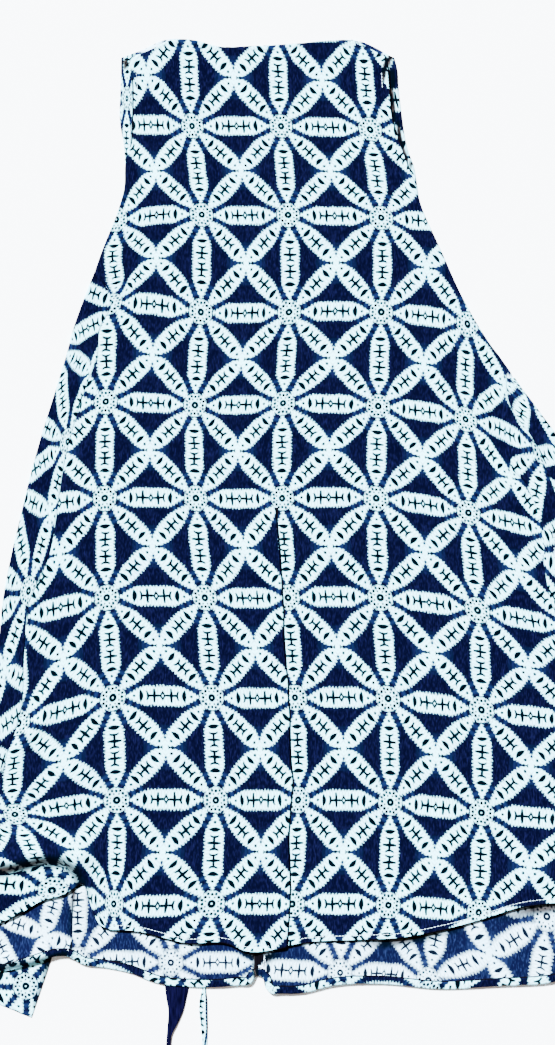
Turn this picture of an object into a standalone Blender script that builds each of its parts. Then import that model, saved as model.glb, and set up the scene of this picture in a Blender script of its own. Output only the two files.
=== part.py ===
"""A sleeveless flared tunic top laid flat on its back, neck edge at +Y and hem at -Y.

The front panel lies on the back panel. The back panel is longer, and it comes round
both sides to meet the front in the two side seams, so its section is a flat C. The
end of a broad sash and two narrow ties come out from under the back hem.

Tables are in millimetres: x from the front's grain line, and drop below the highest
point of the neck edge. Everything else is in metres.
"""

import bpy
import numpy as np

MM = 0.001


def table(columns, rows):
    """The rows as one array in metres for each named column."""
    return dict(zip(columns.split(), np.array(rows, float).T * MM))


# Cloth and layers
WALL = 1.6 * MM
GAP = 0.3 * MM
FOLD_RADIUS = 1.3 * MM
BACK_MIDDLE = WALL / 2
FRONT_MIDDLE = BACK_MIDDLE + WALL + GAP
FRONT_CLEAR = 4 * MM
BACK_RISE = 22 * MM

# Where the side edges start and end, as drops
SIDE_TOP = 19 * MM
LEFT_HEM = 900 * MM
RIGHT_HEM = 870 * MM
LEFT_UNDERARM = 245 * MM
RIGHT_UNDERARM = 352 * MM
BACK_NECK_RISE = 1.5 * MM

# The whole garment's outline and the front panel's own edge on each side. The edge is
# the hemmed armhole down to the underarm, and the side seam below it.
LEFT = table(
    "drop outline edge",
    [
        (19, -162, -156),
        (95, -162, -155),
        (116, -155, -154),
        (159, -157, -157),
        (185, -164, -164),
        (222, -178, -178),
        (240, -184, -182),
        (262, -192, -168),
        (281, -199, -166),
        (302, -206, -179),
        (334, -214, -182),
        (362, -222, -192),
        (410, -236, -206),
        (452, -247, -215),
        (493, -256, -220),
        (539, -266, -228),
        (583, -273, -246),
        (634, -277, -250),
        (688, -288, -252),
        (736, -296, -266),
        (802, -303, -281),
        (900, -307, -292),
    ],
)
RIGHT = table(
    "drop edge outline",
    [
        (19, 114, 120),
        (42, 113, 126),
        (82, 115, 127),
        (107, 122, 128),
        (122, 130, 130),
        (174, 146, 146),
        (222, 166, 166),
        (279, 191, 191),
        (321, 215, 215),
        (340, 228, 229),
        (352, 232, 237),
        (370, 233, 249),
        (386, 242, 261),
        (409, 253, 277),
        (439, 265, 294),
        (474, 278, 311),
        (522, 296, 328),
        (572, 312, 341),
        (652, 330, 357),
        (742, 344, 370),
        (832, 354, 379),
        (870, 358, 383),
    ],
)

# Neck edge, front hem and back hem
NECK = table(
    "x drop",
    [
        (-156, 19),
        (-132, 9),
        (-117, 1),
        (-86, 0),
        (-65, 6),
        (-23, 6),
        (23, 3),
        (55, 0),
        (76, 0),
        (114, 19),
    ],
)
FRONT_HEM = table(
    "x drop",
    [
        (-292, 900),
        (-269, 892),
        (-226, 871),
        (-196, 855),
        (-188, 853),
        (-178, 882),
        (-166, 898),
        (-133, 902),
        (-99, 912),
        (-27, 919),
        (0, 919),
        (14, 914),
        (80, 909),
        (119, 907),
        (158, 900),
        (197, 890),
        (236, 878),
        (270, 874),
        (320, 871),
        (358, 870),
    ],
)
BACK_HEM = table(
    "x drop",
    [
        (-307, 900),
        (-291, 924),
        (-268, 935),
        (-249, 928),
        (-214, 919),
        (-191, 930),
        (-162, 936),
        (-123, 949),
        (-84, 952),
        (-36, 950),
        (-20, 945),
        (-10, 952),
        (22, 958),
        (51, 951),
        (99, 949),
        (157, 954),
        (215, 951),
        (268, 947),
        (320, 932),
        (358, 902),
        (383, 870),
    ],
)

# How high the cloth stands off its bed along each hem, a row for each wave
FRONT_WAVES = table(
    "x lift",
    [
        (-292, 3),
        (-240, 8),
        (-190, 9),
        (-168, 4),
        (-120, 3),
        (-60, 5),
        (-10, 6),
        (14, 3.5),
        (60, 3),
        (120, 5),
        (180, 3),
        (240, 6),
        (300, 4),
        (358, 3),
    ],
)
BACK_WAVES = table(
    "x lift",
    [
        (-307, 2.2),
        (-268, 2.6),
        (-214, 6),
        (-180, 3),
        (-110, 2.3),
        (-60, 3.5),
        (-20, 6),
        (10, 2.4),
        (50, 5),
        (110, 2.6),
        (160, 2.3),
        (215, 4),
        (268, 5),
        (330, 2.6),
        (383, 2.2),
    ],
)
FRONT_WAVE_REACH = 95 * MM

# Soft folds of the front panel: two ends, the height of the ridge and half its width
FRONT_FOLDS = table(
    "x1 drop1 x2 drop2 height reach",
    [
        (7, 455, 16, 920, 3.5, 11),
        (236, 430, 277, 548, 4, 24),
        (-214, 660, -262, 740, 3.5, 22),
        (-176, 690, -238, 716, 2.5, 20),
        (-182, 848, -275, 838, 6, 26),
        (-60, 560, -30, 880, 1.6, 30),
        (150, 560, 176, 880, 1.8, 32),
        (96, 250, 122, 420, 1.2, 30),
    ],
)

# The sash end's four corners, from the one that shows lowest, and the ties' sections
SASH = table("x drop", [(-237, 982), (-292, 960), (-277, 919), (-213, 910)])
TIE_WIDE = table(
    "drop x width thick",
    [
        (932, -96, 28, 1.5),
        (954, -97, 28, 1.5),
        (970, -99, 23, 1.9),
        (984, -102, 15, 2.6),
        (998, -105, 8, 3.2),
        (1012, -106, 7, 3.2),
    ],
)
TIE_NARROW = table(
    "drop x width thick",
    [
        (936, -70, 6, 1.5),
        (956, -70, 6, 1.5),
        (980, -69, 6, 1.7),
        (1002, -70, 6, 1.7),
        (1026, -71, 6, 1.7),
    ],
)

# The origin is under the middle of the garment's box
ORIGIN_X = (LEFT["outline"].min() + RIGHT["outline"].max()) / 2
ORIGIN_DROP = (TIE_NARROW["drop"].max() - BACK_NECK_RISE) / 2

# Grid lines down the panels and across them, as shares
DOWN = np.concatenate([[0, 0.014], np.linspace(0.035, 0.935, 35), [0.96, 0.974, 0.987, 1]])
NOTCH_COLUMNS = 0.16 + np.array([-0.020, -0.010, 0, 0.008, 0.016, 0.026, 0.036])
FOLD_COLUMNS = 0.468 + np.array([-0.026, -0.017, -0.010, -0.004, 0.002, 0.008, 0.016, 0.026])
FRONT_ACROSS = np.concatenate(
    [
        [0],
        np.linspace(0.02, 0.12, 5),
        NOTCH_COLUMNS,
        np.linspace(0.225, 0.42, 7),
        FOLD_COLUMNS,
        np.linspace(0.52, 0.98, 16),
        [1],
    ]
)
BACK_ACROSS = np.linspace(0, 1, 25)
STRIP_SHARES = np.array([0.2, 0.6, 1])
FOLD_TURNS = np.linspace(0, np.pi, 6)
SASH_STEPS = 7
TIE_STEPS = 15
TIE_SIDES = 12

# Plain colours of the printed cloth's right side, its wrong side and the dark tie
PRINT = (0.42, 0.50, 0.66)
WRONG_SIDE = (0.52, 0.60, 0.74)
NAVY = (0.02, 0.05, 0.20)
ROUGHNESS = 0.85


def through(rows, place, column, at):
    """The column at some places of its table, on a smooth curve through its rows."""
    x, y = rows[place], rows[column]
    step = np.diff(x)
    lean = np.gradient(y, x)
    at = np.clip(at, x[0], x[-1])
    i = np.clip(np.searchsorted(x, at) - 1, 0, len(step) - 1)
    f = (at - x[i]) / step[i]
    ends = y[i] * (1 + 2 * f) * (1 - f) ** 2 + y[i + 1] * f**2 * (3 - 2 * f)
    return ends + step[i] * f * (1 - f) * (lean[i] * (1 - f) - lean[i + 1] * f)


def ease(share):
    """Rises from 0 to 1 with level ends."""
    share = np.clip(share, 0, 1)
    return share**2 * (3 - 2 * share)


def edge_line(rows, across):
    """Points of a neck or hem edge at shares of its width, as x and drop."""
    x = rows["x"][0] + across * np.ptp(rows["x"])
    return np.stack([x, through(rows, "x", "drop", x)], axis=-1)


def side_line(rows, column, hem):
    """Points of a side edge at the shared stations, as x and drop."""
    drop = SIDE_TOP + DOWN * (hem - SIDE_TOP)
    return np.stack([through(rows, "drop", column, drop), drop], axis=-1)


def patch(left, right, top, bottom, across):
    """Grid between four edges: the two ruled surfaces added, less the one of the corners."""
    u = across[None, :, None]
    v = DOWN[:, None, None]
    sides = (1 - u) * left[:, None] + u * right[:, None]
    ends = (1 - v) * top[None] + v * bottom[None]
    corners = (1 - v) * ((1 - u) * top[0] + u * top[-1]) + v * ((1 - u) * bottom[0] + u * bottom[-1])
    return sides + ends - corners


def fold_lift(x, drop):
    """Height that the front's soft folds add at points of the panel."""
    lift = np.zeros_like(x)
    for x1, drop1, x2, drop2, height, reach in zip(*FRONT_FOLDS.values()):
        run = np.array([x2 - x1, drop2 - drop1])
        share = ((x - x1) * run[0] + (drop - drop1) * run[1]) / (run @ run)
        along = np.clip(share, 0, 1)
        away = np.hypot(x - x1 - along * run[0], drop - drop1 - along * run[1])
        lift += height * ease(1 - away / reach)
    return lift


def solid(name, points, faces, colour, wall=None):
    """A named piece from points given as x, drop and height. A wall thickness closes a sheet."""
    placed = np.stack(
        [points[:, 0] - ORIGIN_X, ORIGIN_DROP - points[:, 1], points[:, 2]], axis=-1
    )
    mesh = bpy.data.meshes.new(name)
    mesh.from_pydata(placed.tolist(), [], faces)
    mesh.shade_smooth()
    material = bpy.data.materials.new(name)
    material.use_nodes = True
    shader = material.node_tree.nodes["Principled BSDF"]
    shader.inputs["Base Color"].default_value = (*colour, 1)
    shader.inputs["Roughness"].default_value = ROUGHNESS
    shader.inputs["Metallic"].default_value = 0
    mesh.materials.append(material)
    obj = bpy.data.objects.new(name, mesh)
    bpy.context.scene.collection.objects.link(obj)
    if wall:
        solidify = obj.modifiers.new("Wall", "SOLIDIFY")
        solidify.thickness = wall
        solidify.offset = 0
    return obj


def grid_faces(rows, columns, keep=None):
    """Quads of a grid of points stored row by row, facing up when drop grows by the row."""
    faces = []
    for row in range(rows - 1):
        for column in range(columns - 1):
            if keep is None or keep[row, column]:
                first = row * columns + column
                faces.append((first, first + columns, first + columns + 1, first + 1))
    return faces


def front_panel():
    """The front: hemmed neck and armhole edges, side seams, and a curved hem."""
    left = side_line(LEFT, "edge", LEFT_HEM) + [GAP / 2, 0]
    right = side_line(RIGHT, "edge", RIGHT_HEM) - [GAP / 2, 0]
    neck = edge_line(NECK, FRONT_ACROSS)
    hem = edge_line(FRONT_HEM, FRONT_ACROSS)
    flat = patch(left, right, neck, hem, FRONT_ACROSS)
    x, drop = flat[..., 0], flat[..., 1]
    from_hem = through(FRONT_HEM, "x", "drop", x) - drop
    waves = through(FRONT_WAVES, "x", "lift", x) * ease(1 - from_hem / FRONT_WAVE_REACH)
    height = FRONT_MIDDLE + waves + fold_lift(x, drop)
    points = np.stack([x, drop, height], axis=-1).reshape(-1, 3)
    return solid("front_panel", points, grid_faces(*x.shape), PRINT, WALL)


def side_turn(outline, seam, toward):
    """Sections of the back's edge: up round the outline, then in over the top to the seam.

    toward is the direction in which the strip runs inward, +1 at the left side."""
    centre = outline[:, :1] + toward * (FOLD_RADIUS + WALL / 2)
    turn = FOLD_TURNS[None]
    fold_x = centre - toward * FOLD_RADIUS * np.sin(turn)
    fold_z = np.broadcast_to(BACK_MIDDLE + FOLD_RADIUS * (1 - np.cos(turn)), fold_x.shape)
    end = seam[:, :1] - toward * GAP / 2
    strip_x = centre + (end - centre) * STRIP_SHARES
    top = BACK_MIDDLE + 2 * FOLD_RADIUS
    strip_z = np.linspace(top, FRONT_MIDDLE, len(STRIP_SHARES) + 1)[1:]
    strip_z = np.broadcast_to(strip_z, strip_x.shape)
    drop = np.broadcast_to(outline[:, 1:], (len(outline), turn.size + STRIP_SHARES.size))
    return np.stack([np.hstack([fold_x, strip_x]), drop, np.hstack([fold_z, strip_z])], axis=-1)


def back_panel():
    """The back: flat on the table, turned over the front below both underarms, with a longer hem."""
    left, left_seam = side_line(LEFT, "outline", LEFT_HEM), side_line(LEFT, "edge", LEFT_HEM)
    right, right_seam = side_line(RIGHT, "outline", RIGHT_HEM), side_line(RIGHT, "edge", RIGHT_HEM)
    left_turns = left[:, 1] > LEFT_UNDERARM
    right_turns = right[:, 1] > RIGHT_UNDERARM
    left_turn = side_turn(left, left_seam, 1)[:, ::-1]
    right_turn = side_turn(right, right_seam, -1)
    turn_columns = left_turn.shape[1] - 1
    neck = edge_line(NECK, BACK_ACROSS) - [0, BACK_NECK_RISE]
    neck[:, 0] = np.linspace(left[0, 0], right[0, 0], len(BACK_ACROSS))
    hem = edge_line(BACK_HEM, BACK_ACROSS)
    inset = np.array([[FOLD_RADIUS + WALL / 2, 0]])
    left_edge = left + inset * left_turns[:, None]
    right_edge = right - inset * right_turns[:, None]
    flat = patch(left_edge, right_edge, neck, hem, BACK_ACROSS)
    bed = np.concatenate([flat, np.full((*flat.shape[:2], 1), BACK_MIDDLE)], axis=-1)
    left_turn[:, -1] = bed[:, 0]
    right_turn[:, 0] = bed[:, -1]
    points = np.concatenate([left_turn, bed[:, 1:-1], right_turn], axis=1)
    x, drop = points[..., 0], points[..., 1]
    past_front = drop - through(FRONT_HEM, "x", "drop", x) - FRONT_CLEAR
    points[..., 2] += through(BACK_WAVES, "x", "lift", x) * ease(past_front / BACK_RISE)
    keep = np.ones(points.shape[:2], bool)
    keep[:, :turn_columns] = left_turns[:, None]
    keep[:, -1 - turn_columns :] = right_turns[:, None]
    faces = grid_faces(*points.shape[:2], keep)
    used, faces = np.unique(faces, return_inverse=True)
    return solid("back_panel", points.reshape(-1, 3)[used], faces.reshape(-1, 4).tolist(), WRONG_SIDE, WALL)


def sash_end():
    """The square end of a broad sash, flat on the table under the back hem."""
    low_right, low_left, high_left, high_right = np.stack([SASH["x"], SASH["drop"]], axis=-1)
    share = np.linspace(0, 1, SASH_STEPS)
    u, v = share[None, :, None], share[:, None, None]
    flat = (1 - v) * ((1 - u) * high_left + u * high_right) + v * ((1 - u) * low_left + u * low_right)
    points = np.concatenate([flat, np.full((SASH_STEPS, SASH_STEPS, 1), BACK_MIDDLE)], axis=-1)
    return solid("sash_end", points.reshape(-1, 3), grid_faces(SASH_STEPS, SASH_STEPS), PRINT, WALL)


def tie(name, rows, colour):
    """A tie through flattened round sections, its underside on the table."""
    drop = np.linspace(rows["drop"][0], rows["drop"][-1], TIE_STEPS)
    turn = np.linspace(0, 2 * np.pi, TIE_SIDES, endpoint=False)[None]
    middle = through(rows, "drop", "x", drop)[:, None]
    width = through(rows, "drop", "width", drop)[:, None]
    thick = through(rows, "drop", "thick", drop)[:, None]
    across = np.sign(np.cos(turn)) * np.abs(np.cos(turn)) ** 0.5
    up = np.sign(np.sin(turn)) * np.abs(np.sin(turn)) ** 0.5
    x = middle + width / 2 * across
    z = thick / 2 * (1 + up)
    y = np.broadcast_to(drop[:, None], x.shape)
    points = np.stack([x, y, z], axis=-1).reshape(-1, 3)
    faces = []
    for row in range(len(drop) - 1):
        for side in range(TIE_SIDES):
            after = (side + 1) % TIE_SIDES
            here, there = row * TIE_SIDES, (row + 1) * TIE_SIDES
            faces.append((here + side, here + after, there + after, there + side))
    faces.append(tuple(reversed(range(TIE_SIDES))))
    last = (len(drop) - 1) * TIE_SIDES
    faces.append(tuple(last + side for side in range(TIE_SIDES)))
    return solid(name, points, faces, colour)


for old in list(bpy.data.objects):
    bpy.data.objects.remove(old, do_unlink=True)
front_panel()
back_panel()
sash_end()
tie("tie_wide", TIE_WIDE, NAVY)
tie("tie_narrow", TIE_NARROW, PRINT)
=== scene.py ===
import bpy
import numpy as np
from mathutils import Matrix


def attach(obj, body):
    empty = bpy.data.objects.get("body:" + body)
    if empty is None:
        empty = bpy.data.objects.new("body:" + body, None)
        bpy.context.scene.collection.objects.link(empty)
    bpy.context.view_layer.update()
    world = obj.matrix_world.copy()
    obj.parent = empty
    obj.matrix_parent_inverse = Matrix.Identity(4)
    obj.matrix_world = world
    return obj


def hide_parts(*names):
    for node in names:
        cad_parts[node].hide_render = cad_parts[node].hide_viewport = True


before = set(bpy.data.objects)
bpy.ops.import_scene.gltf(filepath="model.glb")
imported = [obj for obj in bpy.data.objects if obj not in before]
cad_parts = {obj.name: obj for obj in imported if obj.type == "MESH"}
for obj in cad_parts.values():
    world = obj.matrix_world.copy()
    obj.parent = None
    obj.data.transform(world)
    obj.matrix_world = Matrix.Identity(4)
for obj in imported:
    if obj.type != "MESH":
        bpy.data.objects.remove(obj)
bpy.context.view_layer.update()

# Front panel
# One piece of thin printed cloth, cut narrow at the neck and wide at the hem. Its neck, armhole and hem
# edges are turned under twice and topstitched, and below the underarms flat seams join it to the back.
# Tables are in millimetres: x from the grain line, drop below the highest point of the neck edge.
MM = 0.001


def table(columns, rows):
    """The rows as one array for each named column."""
    return dict(zip(columns.split(), np.array(rows, float).T))


LEFT = table("drop outline edge", [
    (19, -162, -153), (40, -162, -150.5), (95, -161.5, -150), (110, -158.5, -150.5), (128, -157, -155.5),
    (159, -157, -157), (185, -164, -164), (222, -178, -178), (240, -184, -184), (247, -186.5, -186),
    (262, -192, -173), (281, -199, -168.5), (302, -206, -179), (334, -214, -182), (362, -222, -192),
    (410, -236, -206), (452, -247, -215), (493, -256, -220), (539, -266, -228), (583, -273, -246),
    (634, -277, -250), (688, -288, -252), (736, -296, -266), (802, -303, -281), (900, -307, -292),
])
RIGHT = table("drop edge outline", [
    (19, 113, 121), (31, 115, 124), (49, 116.2, 124.8), (69, 117.3, 126.8), (82, 118.5, 128.3),
    (106, 125, 131.5), (119, 129.5, 134.5), (133, 134, 139.6), (150, 139.8, 142.5), (174, 146, 146),
    (222, 166, 166), (279, 191, 191), (321, 215, 215), (340, 228, 229), (352, 231, 237), (370, 231.3, 249),
    (382, 233.5, 258), (397, 241, 268.5), (408, 250, 276.5), (422, 258.5, 284.5), (439, 265.5, 294),
    (474, 278.5, 311), (522, 296, 328), (572, 312, 341), (652, 330, 357), (742, 344, 370), (832, 354, 379),
    (870, 358, 383),
])
NECK = table("x drop", [
    (-156, 19), (-132, 9), (-117, 1), (-86, 0), (-65, 6), (-23, 6), (23, 3), (55, 0), (76, 0), (114, 19),
])
FRONT_HEM = table("x drop", [
    (-292, 900), (-269, 893), (-254, 887), (-228, 872), (-205, 865), (-196, 859), (-190, 855), (-186, 859),
    (-183, 869), (-179, 881), (-174, 892), (-166, 898), (-148, 900), (-131, 902), (-111, 907), (-90, 912),
    (-44, 914), (-36, 918), (2, 917), (14, 914), (80, 909), (119, 907), (158, 900), (197, 890),
    (236, 878), (270, 874), (320, 871), (358, 870),
])
SIDE_TOP, LEFT_HEM, CENTRE_HEM, RIGHT_HEM = 19, 900, 914, 870
LEFT_UNDERARM, RIGHT_UNDERARM = 245, 352
ORIGIN_X, ORIGIN_DROP = 38, 512.25

# Where the print lies on the cloth: each row's drop, the x of its roundel in each lengthwise line, and how
# much lower the roundels of each line but c hang
PRINT_LIE = table("row drop z a b c d e f low_z low_a low_b low_d low_e low_f", [
    (0, -10, -274, -184, -94, -1, 87, 178, 269, 18, -3, -7.5, 2.5, 16, 40),
    (1, 92, -260, -172, -88, 3.6, 95.3, 187, 278, 16, 0, 0, 3.5, 14, 38),
    (2, 186, -250, -164.6, -77.3, 10.8, 106, 196, 284, 12, 4.8, 0, 3, 14, 42),
    (3, 287.7, -258, -170.8, -77.7, 11.7, 105.2, 192.4, 270, 10, -9.8, 0, 0, 12.5, 45),
    (4, 381.5, -262, -173, -83.2, 5.6, 101.4, 189, 265.7, 8, -1.5, 2, 3, 16.5, 46),
    (5, 478, -262, -172.8, -81.6, 4.5, 98.7, 190.6, 276.3, 12, 0, 0, 0, 14.5, 35),
    (6, 577.4, -259, -169.5, -72.1, 10.4, 101.9, 198.2, 291.5, 22, 0, 0, 0, 12.5, 31),
    (7, 676, -254.5, -162.3, -64.6, 17.3, 109, 200.6, 296.6, 25, 0, 0, 1, 12, 24),
    (8, 775.4, -256.5, -157.2, -60.2, 20.1, 110.2, 199.1, 295.8, 14, 0, 0, 2, 12, 21),
    (9, 874.5, -218.6, -158.9, -63.7, 14.1, 107.4, 194.7, 290, -13, 0, 0, 1, 8, 18),
    (10, 972, -214, -158, -66, 10, 104, 192, 286, -10, 0, 0, 1, 6, 14),
])

# Where one part of the front laps over another, and how deep. Down the centre front the left cloth lies on
# the right, and near the right underarm a slanting fold lies on the cloth to its left.
CENTRE_LAP = table("drop x deep", [
    (0, 7, 0), (430, 3, 0), (474, -1.5, 0), (488, -1.9, 1.2), (504, -1.5, 2), (516, -0.5, 2.2),
    (533, 1.3, 2.5), (548, 2.2, 2.8), (564, 3.3, 3), (578, 3.9, 3.2), (592, 5, 3.3), (610, 5.1, 3.4),
    (623, 5.7, 3.4), (638, 6.9, 3.5), (651, 7.8, 3.5), (664, 9.6, 3.5), (677, 9.6, 3.5), (690, 10.8, 3.4),
    (714, 11.2, 3.4), (743, 12.4, 3.2), (757, 14, 3.2), (771, 13.2, 3.3), (790, 11.3, 3.6), (817, 10, 4.3),
    (833, 10.7, 4.8), (863, 11.3, 6.3), (893, 9.6, 6.8), (919, 8, 7),
])
SIDE_LAP = table("drop x deep", [
    (0, 80, 0), (200, 128, 0), (352, 197, 0), (410, 225, 0), (428, 233.5, 0), (434, 234.6, 3),
    (446, 234.4, 5), (455, 236, 6), (463, 246, 6.5), (474, 251.2, 7), (488, 257.5, 8), (506, 262, 9),
    (514, 263.6, 10), (530, 265.9, 10.5), (545, 265.2, 11), (564, 267.7, 11), (583, 271.2, 11),
    (596, 275.5, 10), (640, 288, 7), (700, 303, 3), (742, 314, 0), (914, 336, 0),
])
LAP_STEP = 1

# How high the cloth stands along the hem, and its folds: how far each one reaches to the left and right of
# its path, and the path with its height
FRONT_WAVES = table("x lift", [
    (-292, 2), (-240, 3.2), (-190, 3.6), (-168, 2.3), (-120, 1.8), (-60, 2.8), (-10, 3.4), (14, 2.4),
    (60, 2.4), (120, 3), (180, 1.8), (240, 3.6), (300, 2.6), (358, 2),
])
NOTCH_ARC = [
    (-304, 840, 4), (-262, 836, 7), (-245, 831, 8.5), (-226, 826, 9), (-210, 828, 9), (-197, 835, 7),
    (-187, 848, 0),
]
FRONT_FOLDS = [
    (30, 5, [(228, 415, 0), (240, 440, 1.8), (252, 475, 3), (268, 512, 3), (284, 548, 2), (300, 600, 0)]),
    (32, 12, NOTCH_ARC),
    (14, 12, [(-210, 655, 0), (-236, 700, 2.6), (-262, 742, 0)]),
    (12, 10, [(-226, 690, 0), (-248, 716, 2.2), (-272, 736, 0)]),
    (26, 26, [(-66, 560, 0), (-45, 720, 1.5), (-30, 880, 1.2)]),
    (26, 26, [(150, 560, 0), (163, 720, 1.6), (176, 880, 1.2)]),
    (22, 22, [(92, 240, 0), (108, 330, 1), (124, 430, 0)]),
    (12, 16, [(236, 620, 0), (250, 700, 1.3), (262, 800, 0)]),
    (14, 14, [(-150, 180, 0), (-120, 230, 1.2), (-70, 262, 0)]),
    (16, 12, [(110, 160, 0), (60, 205, 1), (12, 222, 0)]),
]
# Where the cloth lies in deep shade: how far that reaches from a path, and the path with its strength
FRONT_SHADES = [
    (8, 10, [
        (-306, 848, 0.8), (-262, 841, 0.8), (-249, 838, 0.65), (-228, 833, 0.6), (-206, 834, 0.6),
        (-196, 842, 0.5), (-190, 855, 0.45), (-186, 868, 0.4),
    ]),
    (2.6, 2.6, [
        (120.5, 14, 3), (116, 18.5, 3), (112.5, 24, 3), (110.5, 32, 2.4), (109, 41, 1), (109, 46, 0),
    ]),
    (1.6, 1.6, [
        (115, 32, 3), (117.5, 66, 2), (121, 84, 1), (124.5, 104, 3), (132, 126, 3), (137, 136, 0.6),
    ]),
    (2, 2, [(-151, 32, 0.3), (-149.5, 60, 0.4), (-150, 100, 0.4)]),
]
# The height of the front's cloth, and its thickness
FRONT_MIDDLE, CLOTH = 2.7, 0.7

# A narrow hem: its width, how far in its stitches run, how much it puffs up, how much thicker it is, and
# the dip along its stitches
HEM, STITCH_IN, PUFF, HEM_LAYERS = 6.5, 5, 0.35, 2.1
STITCH_DIP, STITCH_REACH = 0.25, 1.2
# How far the height of the hem's waves reaches up the front
FRONT_WAVE_REACH = 95


def through(rows, place, column, at):
    """The column at some places of its table, on a smooth curve through its rows."""
    x, y = rows[place], rows[column]
    step = np.diff(x)
    lean = np.gradient(y, x)
    at = np.clip(at, x[0], x[-1])
    i = np.clip(np.searchsorted(x, at) - 1, 0, len(step) - 1)
    f = (at - x[i]) / step[i]
    ends = y[i] * (1 + 2 * f) * (1 - f) ** 2 + y[i + 1] * f**2 * (3 - 2 * f)
    return ends + step[i] * f * (1 - f) * (lean[i] * (1 - f) - lean[i + 1] * f)


def ease(share):
    """Rises from 0 to 1 with level ends: 3 s squared less 2 s cubed."""
    share = np.clip(share, 0, 1)
    return share**2 * (3 - 2 * share)


def panel_at(u, v, left, right, top, bottom, left_hem, right_hem):
    """x and drop at shares across and down: ruled between the sides, plus the neck's and the hem's curves."""
    left_drop = SIDE_TOP + v * (left_hem - SIDE_TOP)
    right_drop = SIDE_TOP + v * (right_hem - SIDE_TOP)
    left_x = through(left[0], "drop", left[1], left_drop)
    right_x = through(right[0], "drop", right[1], right_drop)
    top_drop = through(top, "x", "drop", top["x"][0] + u * np.ptp(top["x"]))
    bottom_drop = through(bottom, "x", "drop", bottom["x"][0] + u * np.ptp(bottom["x"]))
    hem_chord = (1 - u) * left_hem + u * right_hem
    drop = (1 - u) * left_drop + u * right_drop
    drop = drop + (1 - v) * (top_drop - SIDE_TOP) + v * (bottom_drop - hem_chord)
    return (1 - u) * left_x + u * right_x, drop


def fold_lift(folds, x, drop):
    """Height that folds add: the path's own height, falling smoothly to nothing at its reach on each side."""
    lift = np.zeros_like(x)
    for left_reach, right_reach, path in folds:
        path = np.array(path, float)
        run = np.diff(path, axis=0)
        length = np.hypot(run[:, 0], run[:, 1])
        from_start = [x[..., None] - path[:-1, 0], drop[..., None] - path[:-1, 1]]
        share = np.clip((from_start[0] * run[:, 0] + from_start[1] * run[:, 1]) / length**2, 0, 1)
        gap = np.stack([from_start[0] - share * run[:, 0], from_start[1] - share * run[:, 1]])
        away = np.hypot(*gap)
        nearest = away.argmin(axis=-1)[..., None]
        turned = np.take_along_axis(run[:, 0] * gap[1] - run[:, 1] * gap[0], nearest, -1)[..., 0]
        height = np.take_along_axis(path[:-1, 2] + share * run[:, 2], nearest, -1)[..., 0]
        reach = np.where(turned > 0, right_reach, left_reach)
        lift += height * ease(1 - away.min(axis=-1) / reach)
    return lift


def hem_puff(from_edge):
    """A hem's relief: half a sine wave from its edge to its stitches, less a dip where they hold it."""
    swell = PUFF * np.sin(np.pi * np.clip(from_edge / STITCH_IN, 0, 1))
    return swell - STITCH_DIP * ease(1 - np.abs(from_edge - STITCH_IN) / STITCH_REACH)


# The print's charts are worked out in tenths of a metre, and may miss a charted place by a little
CHART_SCALE, CHART_SLACK = 100, 0.004


def print_at(chart, x, drop):
    """Print coordinates: a plane plus a sum of r squared log r about each place on the chart."""
    places = np.array(chart, float)[:, 2:] / CHART_SCALE
    at = np.stack([x, drop], axis=-1) / CHART_SCALE

    def bend(here):
        """r squared log r, from each point to each charted place."""
        away = np.hypot(here[..., None, 0] - places[:, 0], here[..., None, 1] - places[:, 1])
        return away**2 * np.log(away + 1e-9)

    plane = np.column_stack([np.ones(len(places)), places])
    stiff = bend(places) + CHART_SLACK * np.eye(len(places))
    system = np.block([[stiff, plane], [plane.T, np.zeros((3, 3))]])
    weights = np.linalg.solve(system, np.vstack([np.array(chart, float)[:, :2], np.zeros((3, 2))]))
    return bend(at) @ weights[:-3] + weights[-3] + at @ weights[-2:]


def lay_print(uv, part, chart, x, drop):
    """Puts a part of the cloth's print on a chart of its own."""
    uv[part] = print_at(chart, x[part], drop[part])


def new_piece(name, points, faces):
    """A piece from points (x, drop, height) in millimetres, turned to the frame's axes and metres."""
    x, drop, height = points.reshape(-1, 3).T
    placed = np.stack([x - ORIGIN_X, ORIGIN_DROP - drop, height], axis=-1) * MM
    mesh = bpy.data.meshes.new(name)
    mesh.from_pydata(placed.tolist(), [], faces)
    mesh.shade_smooth()
    piece = bpy.data.objects.new(name, mesh)
    bpy.context.scene.collection.objects.link(piece)
    return piece


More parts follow.
